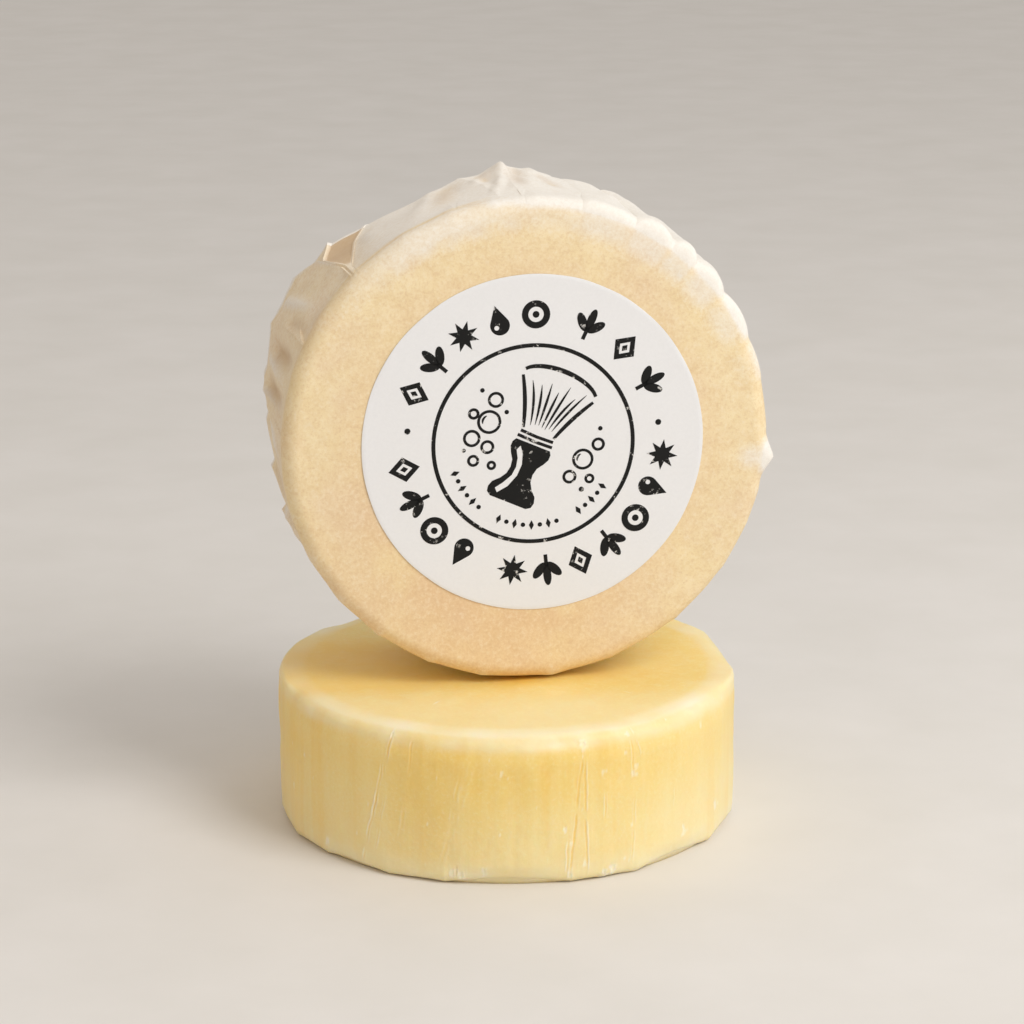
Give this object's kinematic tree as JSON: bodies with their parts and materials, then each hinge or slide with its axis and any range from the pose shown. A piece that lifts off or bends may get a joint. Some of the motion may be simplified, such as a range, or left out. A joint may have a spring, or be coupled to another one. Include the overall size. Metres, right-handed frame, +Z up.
{
  "type": "shaving soap puck",
  "caption": "Round shaving soap puck lying bare, with a second puck standing on it in a pleated greaseproof paper wrapper with a round label; the wrapper opens at the back.",
  "frame": {"origin": "centre of the bare puck's underside", "axes": "+Z up along the bare puck's axis; -Y is the front, the side the wrapped puck's label faces"},
  "size_m": [0.0755, 0.07, 0.0966],
  "materials": {
    "soap": "waxy, slightly translucent",
    "wrapper_paper": "greaseproof paper, matt with fine mottling",
    "label_paper": "smooth white sticker paper"
  },
  "bodies": {
    "bare_puck": {"bare_soap": "soap"},
    "wrapped_puck": {"wrapped_soap": "soap", "wrapper_sheet": "wrapper_paper", "front_label": "label_paper"},
    "pleat_01": {"wrapper_pleat_01": "wrapper_paper"},
    "pleat_02": {"wrapper_pleat_02": "wrapper_paper"},
    "pleat_03": {"wrapper_pleat_03": "wrapper_paper"},
    "pleat_04": {"wrapper_pleat_04": "wrapper_paper"},
    "pleat_05": {"wrapper_pleat_05": "wrapper_paper"},
    "pleat_06": {"wrapper_pleat_06": "wrapper_paper"},
    "pleat_07": {"wrapper_pleat_07": "wrapper_paper"},
    "pleat_08": {"wrapper_pleat_08": "wrapper_paper"},
    "pleat_09": {"wrapper_pleat_09": "wrapper_paper"},
    "pleat_10": {"wrapper_pleat_10": "wrapper_paper"},
    "pleat_11": {"wrapper_pleat_11": "wrapper_paper"},
    "pleat_12": {"wrapper_pleat_12": "wrapper_paper"},
    "pleat_13": {"wrapper_pleat_13": "wrapper_paper"},
    "pleat_14": {"wrapper_pleat_14": "wrapper_paper"},
    "pleat_15": {"wrapper_pleat_15": "wrapper_paper"},
    "pleat_16": {"wrapper_pleat_16": "wrapper_paper"},
    "seal": {"back_seal": "label_paper"}
  },
  "joints": [
    {"name": "wrapped_puck_lift", "type": "slide", "parent": "bare_puck", "child": "wrapped_puck", "axis": [0, 0, 1], "range_m": [0, 0.06]},
    {"name": "pleat_01_open", "type": "hinge", "parent": "wrapped_puck", "child": "pleat_01", "pos_m": [-0.00041, 0.01266, 0.09604], "axis": [0.9877, 0.1564, 0], "range_deg": [0, 85]},
    {"name": "pleat_02_open", "type": "hinge", "parent": "wrapped_puck", "child": "pleat_02", "pos_m": [-0.01411, 0.01049, 0.09328], "axis": [0.9125, 0.1445, 0.3827], "range_deg": [0, 85]},
    {"name": "pleat_03_open", "type": "hinge", "parent": "wrapped_puck", "child": "pleat_03", "pos_m": [-0.02572, 0.00865, 0.08542], "axis": [0.6984, 0.1106, 0.7071], "range_deg": [0, 85]},
    {"name": "pleat_04_open", "type": "hinge", "parent": "wrapped_puck", "child": "pleat_04", "pos_m": [-0.03348, 0.00742, 0.07367], "axis": [0.378, 0.0599, 0.9239], "range_deg": [0, 85]},
    {"name": "pleat_05_open", "type": "hinge", "parent": "wrapped_puck", "child": "pleat_05", "pos_m": [-0.03621, 0.00699, 0.0598], "axis": [0, 0, 1], "range_deg": [0, 85]},
    {"name": "pleat_06_open", "type": "hinge", "parent": "wrapped_puck", "child": "pleat_06", "pos_m": [-0.03348, 0.00742, 0.04593], "axis": [-0.378, -0.0599, 0.9239], "range_deg": [0, 85]},
    {"name": "pleat_07_open", "type": "hinge", "parent": "wrapped_puck", "child": "pleat_07", "pos_m": [-0.02572, 0.00865, 0.03418], "axis": [-0.6984, -0.1106, 0.7071], "range_deg": [0, 85]},
    {"name": "pleat_08_open", "type": "hinge", "parent": "wrapped_puck", "child": "pleat_08", "pos_m": [-0.01411, 0.01049, 0.02632], "axis": [-0.9125, -0.1445, 0.3827], "range_deg": [0, 85]},
    {"name": "pleat_09_open", "type": "hinge", "parent": "wrapped_puck", "child": "pleat_09", "pos_m": [-0.00041, 0.01266, 0.02356], "axis": [-0.9877, -0.1564, 0], "range_deg": [0, 85]},
    {"name": "pleat_10_open", "type": "hinge", "parent": "wrapped_puck", "child": "pleat_10", "pos_m": [0.01328, 0.01483, 0.02632], "axis": [-0.9125, -0.1445, -0.3827], "range_deg": [0, 85]},
    {"name": "pleat_11_open", "type": "hinge", "parent": "wrapped_puck", "child": "pleat_11", "pos_m": [0.02489, 0.01667, 0.03418], "axis": [-0.6984, -0.1106, -0.7071], "range_deg": [0, 85]},
    {"name": "pleat_12_open", "type": "hinge", "parent": "wrapped_puck", "child": "pleat_12", "pos_m": [0.03265, 0.01789, 0.04593], "axis": [-0.378, -0.0599, -0.9239], "range_deg": [0, 85]},
    {"name": "pleat_13_open", "type": "hinge", "parent": "wrapped_puck", "child": "pleat_13", "pos_m": [0.03538, 0.01833, 0.0598], "axis": [0, 0, -1], "range_deg": [0, 85]},
    {"name": "pleat_14_open", "type": "hinge", "parent": "wrapped_puck", "child": "pleat_14", "pos_m": [0.03265, 0.01789, 0.07367], "axis": [0.378, 0.0599, -0.9239], "range_deg": [0, 85]},
    {"name": "pleat_15_open", "type": "hinge", "parent": "wrapped_puck", "child": "pleat_15", "pos_m": [0.02489, 0.01667, 0.08542], "axis": [0.6984, 0.1106, -0.7071], "range_deg": [0, 85]},
    {"name": "pleat_16_open", "type": "hinge", "parent": "wrapped_puck", "child": "pleat_16", "pos_m": [0.01328, 0.01483, 0.09328], "axis": [0.9125, 0.1445, -0.3827], "range_deg": [0, 85]},
    {"name": "seal_peel", "type": "hinge", "parent": "pleat_01", "child": "seal", "pos_m": [-0.00047, 0.013, 0.0788], "axis": [0.9877, 0.1564, 0], "range_deg": [0, 150]}
  ],
  "couplings": [
    {"joint": "pleat_02_open", "follows": "pleat_01_open", "ratio": 1},
    {"joint": "pleat_03_open", "follows": "pleat_01_open", "ratio": 1},
    {"joint": "pleat_04_open", "follows": "pleat_01_open", "ratio": 1},
    {"joint": "pleat_05_open", "follows": "pleat_01_open", "ratio": 1},
    {"joint": "pleat_06_open", "follows": "pleat_01_open", "ratio": 1},
    {"joint": "pleat_07_open", "follows": "pleat_01_open", "ratio": 1},
    {"joint": "pleat_08_open", "follows": "pleat_01_open", "ratio": 1},
    {"joint": "pleat_09_open", "follows": "pleat_01_open", "ratio": 1},
    {"joint": "pleat_10_open", "follows": "pleat_01_open", "ratio": 1},
    {"joint": "pleat_11_open", "follows": "pleat_01_open", "ratio": 1},
    {"joint": "pleat_12_open", "follows": "pleat_01_open", "ratio": 1},
    {"joint": "pleat_13_open", "follows": "pleat_01_open", "ratio": 1},
    {"joint": "pleat_14_open", "follows": "pleat_01_open", "ratio": 1},
    {"joint": "pleat_15_open", "follows": "pleat_01_open", "ratio": 1},
    {"joint": "pleat_16_open", "follows": "pleat_01_open", "ratio": 1}
  ]
}
